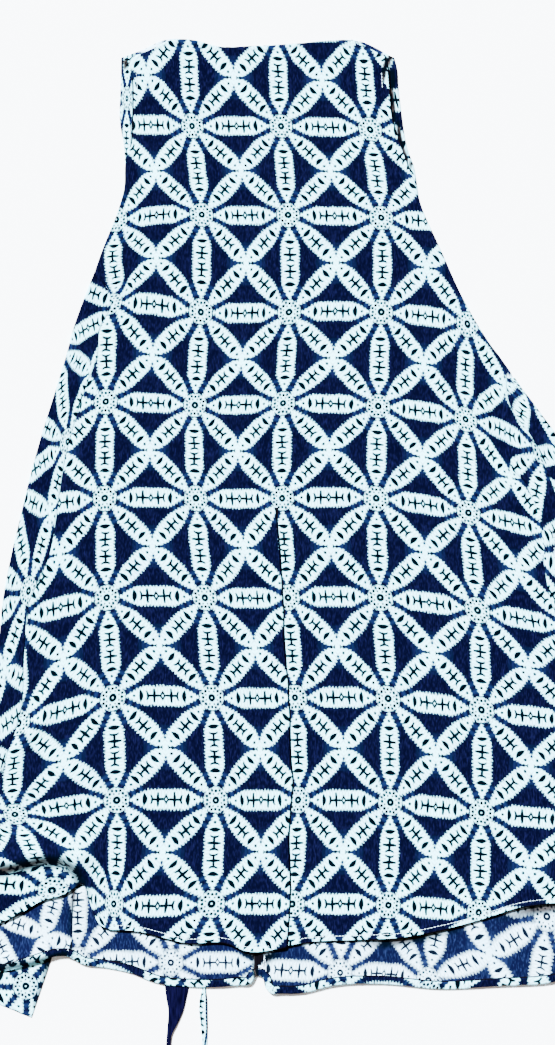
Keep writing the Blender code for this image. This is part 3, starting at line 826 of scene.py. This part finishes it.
# The height of its cloth, from where to the front's hem and over how far it rises, how much higher its neck
# edge is, its gap at the seams, the radius of its side folds, the width and radius of the hem turned up, and
# how far its stitches are from the band's edge
BACK_MIDDLE, FRONT_CLEAR, BACK_RISE = 0.6, -14, 22
BACK_NECK_RISE, SEAM_GAP, FOLD_RADIUS = 1.5, 0.3, 1.25
TURN_UP, TURN_RADIUS, BAND_STITCH_IN = 7, 0.5, 1.4
# Where the back's own hems show outside the front's armhole edges, and the foot of the right one's print
LEFT_STRIP, RIGHT_STRIP, RIGHT_STRIP_FOOT = -149, 110, 150
# Where the painted lines of shade in the pleat and in the crevice start, and the foot of each column of the
# crevice's
PLEAT_TOP, CREVICE_TOP = 850, 900
CREVICE_FEET = [FAR, 940, 933, 926]
# Where the print lies on most of the back, then on the cloth left of the pleat, which lies turned, on its
# own hems outside the front's armhole edges, left of the crevice, and on the strips round both sides
BACK_CHART = [
    (1, 0, -140, 926), (2, 0, -38, 934), (3, 0, 60.4, 939.5), (4, 0, 145.4, 947),
    (5, -1, 260.7, 886.6), (4.5, -0.5, 204.3, 922.5), (0, -1, -210, 828), (1, -1, -118, 832),
    (2, -1, -28, 838), (3, -1, 64, 842), (4, -1, 163, 850), (0.08, -9, -180, 57.5), (3.45, -9, 123, 57.5),
    (3.45, -8, 135, 155), (-1, 0, -284, 930), (-1, -1, -285, 832),
]
TURNED_CHART = [
    (0, 0, -208.2, 842.2), (-1, 0, -286.4, 882.5), (0, 1, -165.9, 931), (-1, 1, -238.8, 963),
    (-0.5, 0.5, -224.7, 903.6),
]
RIGHT_ARMHOLE_CHART = [(3.4, -9, 121, 63), (3.5, -9, 130.2, 63), (3.4, -8, 145.4, 185), (3.5, -8, 154.6, 185)]
LEFT_ARMHOLE_CHART = [
    (0, 0, -155.5, 61.5), (0.25, 0, -145.2, 61.5), (0, 1, -155.5, 163), (0.25, 1, -145.2, 163),
]
LEFT_OF_CREVICE = [
    (0, 0, -193, 928), (1, 0, -103, 930), (2, 0, -12, 930), (0, -1, -194, 830), (1, -1, -104, 832),
    (2, -1, -12, 836),
]
LEFT_CHART = [
    (1, 1, -152.5, 282), (0.812, 1.188, -174.2, 273.5), (0.71, 1.29, -186.6, 268.2),
    (0.724, 1, -175.8, 294.4), (0.5835, 1, -186.2, 301.1), (0.4165, 1, -197, 306.9), (0, 1, -218.4, 326.1),
    (0, 0, -210.8, 420.5), (-0.5, -0.5, -227.2, 492.9), (-1, -1, -247.2, 570.6),
    (-1.5, -1.5, -269.5, 646.8), (0.5, 0.5, -188.6, 349.8), (-2, -2, -292, 723),
]
RIGHT_CHART = [
    (0, 0, 249.5, 361.8), (0, -0.276, 247.8, 383.3), (0, -0.4165, 245.2, 392.3),
    (0.29, -0.29, 270.3, 400.9), (0.393, -0.393, 278.1, 413.4), (0.5, -0.5, 283, 431.2),
    (0.393, -0.607, 273.1, 433), (0.29, -0.71, 266.4, 436.7), (1, 0, 332, 418), (0, -1, 240, 434),
    (1, -1, 322, 494), (1.5, -1.5, 346, 566), (2, -2, 368, 645), (3, -3, 384, 790), (0, 1, 236, 300),
]

# Grid lines across the bed, closest at the pleat and at the crevice below the front hem, then down it
PLEAT_AT, CREVICE_AT = 0.1548, 0.4130
BED = grid_lines(
    (0.13, 15), (0.1535, 8), (PLEAT_AT, 1), (0.1560, 1), (0.1572, 1), (0.159, 1), (0.18, 7), (0.385, 27),
    (0.409, 9), (0.4108, 1), (CREVICE_AT, 1), (0.4155, 1), (0.4185, 1), (0.4225, 1), (0.4255, 1),
    (0.4285, 1), (0.445, 6), (1, 61),
)
BACK_ROWS = grid_lines((0.01, 5), (0.9, 129), (0.985, 41), (1, 9))
TURN = np.linspace(0, np.pi, 8)
STRIP = np.linspace(0, 1, 14)[1:]


def side_turn(outline, seam, toward):
    """Sections of the back's edge: up round the outline in a half circle, and in over the top to the seam."""
    centre = outline[:, None] + toward * (FOLD_RADIUS + CLOTH / 2)
    turned_x = centre - toward * FOLD_RADIUS * np.sin(TURN)
    turned_z = np.broadcast_to(BACK_MIDDLE + FOLD_RADIUS * (1 - np.cos(TURN)), turned_x.shape)
    strip_x = centre + (seam[:, None] - centre) * STRIP
    top = BACK_MIDDLE + 2 * FOLD_RADIUS
    strip_z = np.broadcast_to(top + (FRONT_MIDDLE - top) * STRIP, strip_x.shape)
    x, z = np.hstack([turned_x, strip_x]), np.hstack([turned_z, strip_z])
    dip = SEAM_DIP * ease(1 - np.abs(x - seam[:, None]) / SEAM_REACH) * (z > FRONT_MIDDLE)
    return x, z - dip


def back_lift(x, drop):
    """How far the back rises off its bed: in waves from near the front's hem to its own, and in folds."""
    past_front = drop - through(FRONT_HEM, "x", "drop", x) - FRONT_CLEAR
    risen = ease(past_front / BACK_RISE)
    return np.maximum(through(BACK_WAVES, "x", "lift", x) * risen + fold_lift(BACK_FOLDS, x, drop) * risen, 0)


v = BACK_ROWS
back_neck = dict(NECK, drop=NECK["drop"] - BACK_NECK_RISE)
back_sides = (LEFT, "outline"), (RIGHT, "outline"), back_neck, BACK_HEM, LEFT_HEM, RIGHT_HEM
outline_left, drop_left = panel_at(np.zeros_like(v), v, *back_sides)
outline_right, drop_right = panel_at(np.ones_like(v), v, *back_sides)
turns_left, turns_right = drop_left > LEFT_UNDERARM, drop_right > RIGHT_UNDERARM
left_x, left_z = side_turn(outline_left, through(LEFT, "drop", "edge", drop_left) - SEAM_GAP, 1)
right_x, right_z = side_turn(outline_right, through(RIGHT, "drop", "edge", drop_right) + SEAM_GAP, -1)
bed_u = np.broadcast_to(BED, (len(v), len(BED)))
bed_x, bed_drop = panel_at(bed_u, v[:, None], *back_sides)
inset = FOLD_RADIUS + CLOTH / 2
start_x = np.where(turns_left, outline_left + inset, outline_left)[:, None]
end_x = np.where(turns_right, outline_right - inset, outline_right)[:, None]
bed_x = start_x + (end_x - start_x) * BED
bed_z = BACK_MIDDLE + back_lift(bed_x, bed_drop)
columns = left_x.shape[1] - 1
x = np.hstack([left_x[:, :0:-1], bed_x, right_x[:, 1:]])
z = np.hstack([left_z[:, :0:-1], bed_z, right_z[:, 1:]])
beside = [np.repeat(side_drop[:, None], columns, 1) for side_drop in (drop_left, drop_right)]
drop = np.hstack([beside[0], bed_drop, beside[1]])
z[:, :columns] += back_lift(x[:, :columns], drop[:, :columns])
z[:, -columns:] += back_lift(x[:, -columns:], drop[:, -columns:])
pleat, crevice = columns + np.searchsorted(BED, [PLEAT_AT, CREVICE_AT])


def print_of_back(x, drop):
    """The back's print, with what lies left of the crevice and left of the pleat on their own charts."""
    uv = print_at(BACK_CHART, x, drop)
    lay_print(uv, np.s_[:, : crevice + 1], LEFT_OF_CREVICE, x, drop)
    lay_print(uv, np.s_[:, : pleat + 1], TURNED_CHART, x, drop)
    return uv


uv = print_of_back(x, drop)
lay_print(uv, (x < LEFT_STRIP) & (drop < LEFT_UNDERARM), LEFT_ARMHOLE_CHART, x, drop)
lay_print(uv, (x > RIGHT_STRIP) & (drop < RIGHT_STRIP_FOOT), RIGHT_ARMHOLE_CHART, x, drop)
lay_print(uv, np.s_[:, :columns], LEFT_CHART, x, drop)
lay_print(uv, np.s_[:, -columns:], RIGHT_CHART, x, drop)

# The hem turned up: round its edge, then a band's width back up the cloth, square to the hem
edge = np.stack([x[-1], drop[-1]], axis=-1)
lean = np.gradient(edge, axis=0)
square = np.stack([lean[:, 1], -lean[:, 0]], axis=-1) / np.linalg.norm(lean, axis=-1, keepdims=True)
round_edge = np.linspace(0, np.pi, 6)[1:, None]
band_in = np.linspace(0, TURN_UP, 7)[1:, None]
inward = np.concatenate([-TURN_RADIUS * np.sin(round_edge), band_in])
puffed = 2 * TURN_RADIUS + PUFF * np.sin(np.pi * band_in / TURN_UP)
above = np.concatenate([TURN_RADIUS * (1 - np.cos(round_edge)), puffed])
band = edge + inward[..., None] * square
band_z = BACK_MIDDLE + back_lift(band[..., 0], band[..., 1]) + above
beyond = edge - np.abs(inward)[..., None] * square
rows = len(v)
sheet_points = np.concatenate([
    np.stack([x, drop, z], axis=-1), np.concatenate([band, band_z[..., None]], axis=-1),
])
uv = np.concatenate([uv, print_of_back(beyond[..., 0], beyond[..., 1])])
keep = np.ones((len(uv) - 1, x.shape[1] - 1), bool)
keep[: rows - 1, :columns] = (turns_left[1:] & turns_left[:-1])[:, None]
keep[: rows - 1, -columns:] = (turns_right[1:] & turns_right[:-1])[:, None]
keep[rows - 1 :, :columns] = False
keep[rows - 1 :, -columns:] = False

# Outside the front's armhole edges the back's own hem shows, which has the cloth's right side up. The last
# tone is near-black cloth for painted shade
OWN_HEM, BACK_PAINTED_SHADE = 1, 3
tones = np.zeros(keep.shape, int)
body = tones[: rows - 1]
face_x, face_drop = x[:-1, :-1], drop[:-1, :-1]
body[(face_x < LEFT_STRIP + 1) & (face_drop < LEFT_UNDERARM)] = OWN_HEM
body[(face_x > RIGHT_STRIP) & (face_drop < RIGHT_UNDERARM - 100)] = OWN_HEM

# The pleat, the crevice, which narrows downwards, and the top edge of the turned-up hem band have painted
# shade: dark lines in near-black cloth
body[face_drop[:, pleat] > PLEAT_TOP, pleat] = BACK_PAINTED_SHADE
for column, foot in enumerate(CREVICE_FEET):
    dark = (face_drop[:, crevice] > CREVICE_TOP) & (face_drop[:, crevice] < foot)
    body[dark, crevice + column] = BACK_PAINTED_SHADE
tones[-1] = BACK_PAINTED_SHADE
back = cloth(
    "back_panel_cloth",
    sheet_points,
    uv,
    [RIGHT_SIDE, WRONG_SIDE, RIGHT_SIDE, PAINTED_SHADE_CLOTH],
    keep=keep,
    flip=True,
    tones=tones,
    shade=fold_lift(BACK_SHADES, sheet_points[..., 0], sheet_points[..., 1]),
)
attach(back, "root")
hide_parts("back_panel")
hem_x = np.linspace(-290, 350, 700)
in_band = TURN_UP - BAND_STITCH_IN
hem_drop = through(BACK_HEM, "x", "drop", hem_x) - in_band * hem_slant(BACK_HEM, hem_x)
hem_z = BACK_MIDDLE + back_lift(hem_x, hem_drop) + 2 * TURN_RADIUS + CLOTH / 2 - 2 * STITCH_SUNK
back_stitches = stitches("back_stitches", [stitch_run(hem_x, hem_drop, hem_z)])
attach(back_stitches, "root")

# Sash end
# The square end of a broad sash in the same cloth, right side up, with a narrow hem on three sides. It comes
# out from under the back hem.

# Its corners, its side, the middle of its roundel, how far that is turned, the height of its cloth, how much
# of a hem's puff it has, how high it ripples, and the print's repeat
SASH = table("x drop", [(-237, 982), (-292, 960), (-277, 919), (-213, 910)])
SASH_SIDE, SASH_ROUNDEL, SASH_TURN = 62, (-243, 952.6), 24
SASH_MIDDLE, SASH_PUFF, SASH_RIPPLE = 0.75, 0.8, 0.5
REPEAT = (92, 98)
share = grid_lines((0.12, 7), (0.88, 29), (1, 7))
corner = np.stack([SASH["x"], SASH["drop"]], axis=-1)
u, v = share[None, :, None], share[:, None, None]
flat = (1 - v) * ((1 - u) * corner[2] + u * corner[3]) + v * ((1 - u) * corner[1] + u * corner[0])
from_side = SASH_SIDE * np.minimum(np.minimum(u, 1 - u), 1 - v)
height = SASH_MIDDLE + hem_puff(from_side) * SASH_PUFF + SASH_RIPPLE * np.sin(3 * np.pi * u) ** 2 * v
from_roundel = flat - SASH_ROUNDEL
cosine, sine = np.cos(np.radians(SASH_TURN)), np.sin(np.radians(SASH_TURN))
sash_uv = from_roundel @ np.array([[cosine, sine], [-sine, cosine]]) / REPEAT
SASH_SHADES = [
    (8, 8, [(-292, 930, 0.6), (-275, 926, 0.6), (-250, 921, 0.4), (-232, 917, 0.7), (-213, 911, 0.8)]),
    (7, 7, [(-213, 911, 0.8), (-219, 928, 0.6), (-226, 950, 0.3), (-232, 970, 0.4)]),
]
sash = cloth(
    "sash_end_cloth",
    np.concatenate([flat, height], axis=-1),
    sash_uv,
    [RIGHT_SIDE, WRONG_SIDE],
    shade=fold_lift(SASH_SHADES, flat[..., 0], flat[..., 1]),
)
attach(sash, "root")
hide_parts("sash_end")

# Ties
# Two strips of cloth that come out from under the back hem: a plain navy one that narrows as it twists, and
# a thin one in the printed cloth. Each is a flattened tube with soft creases along it.
TIE_WIDE = table("drop x width thick", [
    (932, -97, 25, 1.5), (951, -97, 24, 1.5), (963, -97.5, 20, 1.8), (976, -98, 14.5, 2.4),
    (988, -101, 9.5, 3), (998, -104, 5, 3.2), (1012, -105, 5, 3.2),
])
TIE_NARROW = table("drop x width thick", [
    (936, -71, 4, 1.5), (956, -71, 4, 1.5), (966, -71.5, 7.5, 1.7), (976, -71.5, 8, 1.7),
    (990, -70.5, 6.5, 1.7), (1010, -70, 4.5, 1.7), (1026, -70.5, 3.5, 1.7),
])
# The rings along a tie and the points round each, how round its section is, the creases round it, and where
# the print lies on it: how far across, from what drop and from how far down a repeat
RINGS, AROUND = 70, 48
ROUNDNESS, CREASE_COUNT = 0.6, 5
PRINT_ACROSS, PRINT_DROP, PRINT_ROW = 0.62, 955, 0.3


def tie(name, rows, creases, twist, uv_width, material):
    """A flattened tube, a rounded oblong in section, with creases as waves round it that turn along it."""
    drop = np.linspace(rows["drop"][0], rows["drop"][-1], RINGS)[:, None]
    turn = np.linspace(0, 2 * np.pi, AROUND + 1)
    middle, width, thick = (through(rows, "drop", column, drop) for column in ("x", "width", "thick"))
    across = np.sign(np.cos(turn)) * np.abs(np.cos(turn)) ** ROUNDNESS
    up = np.sign(np.sin(turn)) * np.abs(np.sin(turn)) ** ROUNDNESS
    crease = creases * np.cos(CREASE_COUNT * turn + twist * (drop - drop[0]) / 20)
    crease = crease * (np.sin(turn) > 0) * np.sin(turn)
    x, z = middle + width / 2 * across, thick / 2 * (1 + up) + crease
    points = np.stack([x, drop + 0 * x, z], axis=-1)
    number = np.arange(RINGS * AROUND).reshape(RINGS, AROUND)
    after = np.roll(number, -1, axis=1)
    faces = np.stack([number[:-1], after[:-1], after[1:], number[1:]], axis=-1).reshape(-1, 4)
    faces = [*faces.tolist(), number[0, ::-1].tolist(), number[-1].tolist()]
    piece = new_piece(name, points[:, :-1], faces)
    layer = piece.data.uv_layers.new(name="print")
    at = np.zeros(len(piece.data.loops), np.int32)
    piece.data.loops.foreach_get("vertex_index", at)
    uv = np.broadcast_arrays(uv_width * (across + PRINT_ACROSS), (drop - PRINT_DROP) / REPEAT[1] + PRINT_ROW)
    uv = np.stack(uv, axis=-1)[:, :-1].reshape(-1, 2)
    layer.uv.foreach_set("vector", uv[at].astype(np.float32).ravel())
    piece.data.materials.append(material)
    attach(piece, "root")
    return piece


NAVY_CLOTH = plain_cloth("navy_cloth", (0.0004, 0.0003, 0.0028, 1), (0.0019, 0.0014, 0.0115, 1))
wide = tie("tie_wide_cloth", TIE_WIDE, 0.28, 1, 0, NAVY_CLOTH)
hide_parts("tie_wide")
narrow = tie("tie_narrow_cloth", TIE_NARROW, 0.12, 0.6, 0.085, RIGHT_SIDE)
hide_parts("tie_narrow")

# Floor, light and camera
# A plain pale floor under soft studio light, seen from the photo's place: nearly straight down from 1.5 m.
floor_mesh = bpy.data.meshes.new("floor")
floor_mesh.from_pydata([(-3, -3, 0), (3, -3, 0), (3, 3, 0), (-3, 3, 0)], [], [(0, 1, 2, 3)])
floor = bpy.data.objects.new("floor", floor_mesh)
bpy.context.scene.collection.objects.link(floor)
paint, shader, start = matt_material("floor_white", 0.9, 0.5)
shader.inputs["Base Color"].default_value = (0.93, 0.93, 0.93, 1)
floor_mesh.materials.append(paint)

world = bpy.data.worlds.new("studio")
world.use_nodes = True
background = world.node_tree.nodes["Background"]
background.inputs["Color"].default_value = (1, 0.88, 0.80, 1)
background.inputs["Strength"].default_value = 0.6
bpy.context.scene.world = world


def sun(name, toward, power, spread, tint):
    """A distant lamp that shines from a direction, with a soft edge to its shadows."""
    lamp = bpy.data.lights.new(name, "SUN")
    lamp.energy = power
    lamp.color = tint
    lamp.angle = np.radians(spread)
    place = bpy.data.objects.new(name, lamp)
    east, north, up = np.array(toward) / np.linalg.norm(toward)
    place.rotation_euler = (np.arccos(up), 0, np.arctan2(north, east) + np.pi / 2)
    bpy.context.scene.collection.objects.link(place)


sun("key", (-0.45, 0.75, 1), 42, 8, (0.92, 1, 1.08))

# The photo's tilt, its camera's distance in metres, its width and focal length in pixels, the width of the
# camera's sensor, and the drop that the camera looks at
TILT, DISTANCE = np.radians(6.5), 1.5
PHOTO_WIDTH, FOCAL_LENGTH, SENSOR = 555, 1500, 36
VIEW_DROP = 502
lens_camera = bpy.data.cameras.new("camera")
lens_camera.sensor_fit = "HORIZONTAL"
lens_camera.sensor_width = SENSOR
lens_camera.lens = FOCAL_LENGTH / PHOTO_WIDTH * SENSOR
camera = bpy.data.objects.new("camera", lens_camera)
view_y = (ORIGIN_DROP - VIEW_DROP) * MM
camera.location = (-ORIGIN_X * MM, view_y - DISTANCE * np.sin(TILT), DISTANCE * np.cos(TILT))
camera.rotation_euler = (TILT, 0, 0)
bpy.context.scene.collection.objects.link(camera)
bpy.context.scene.camera = camera
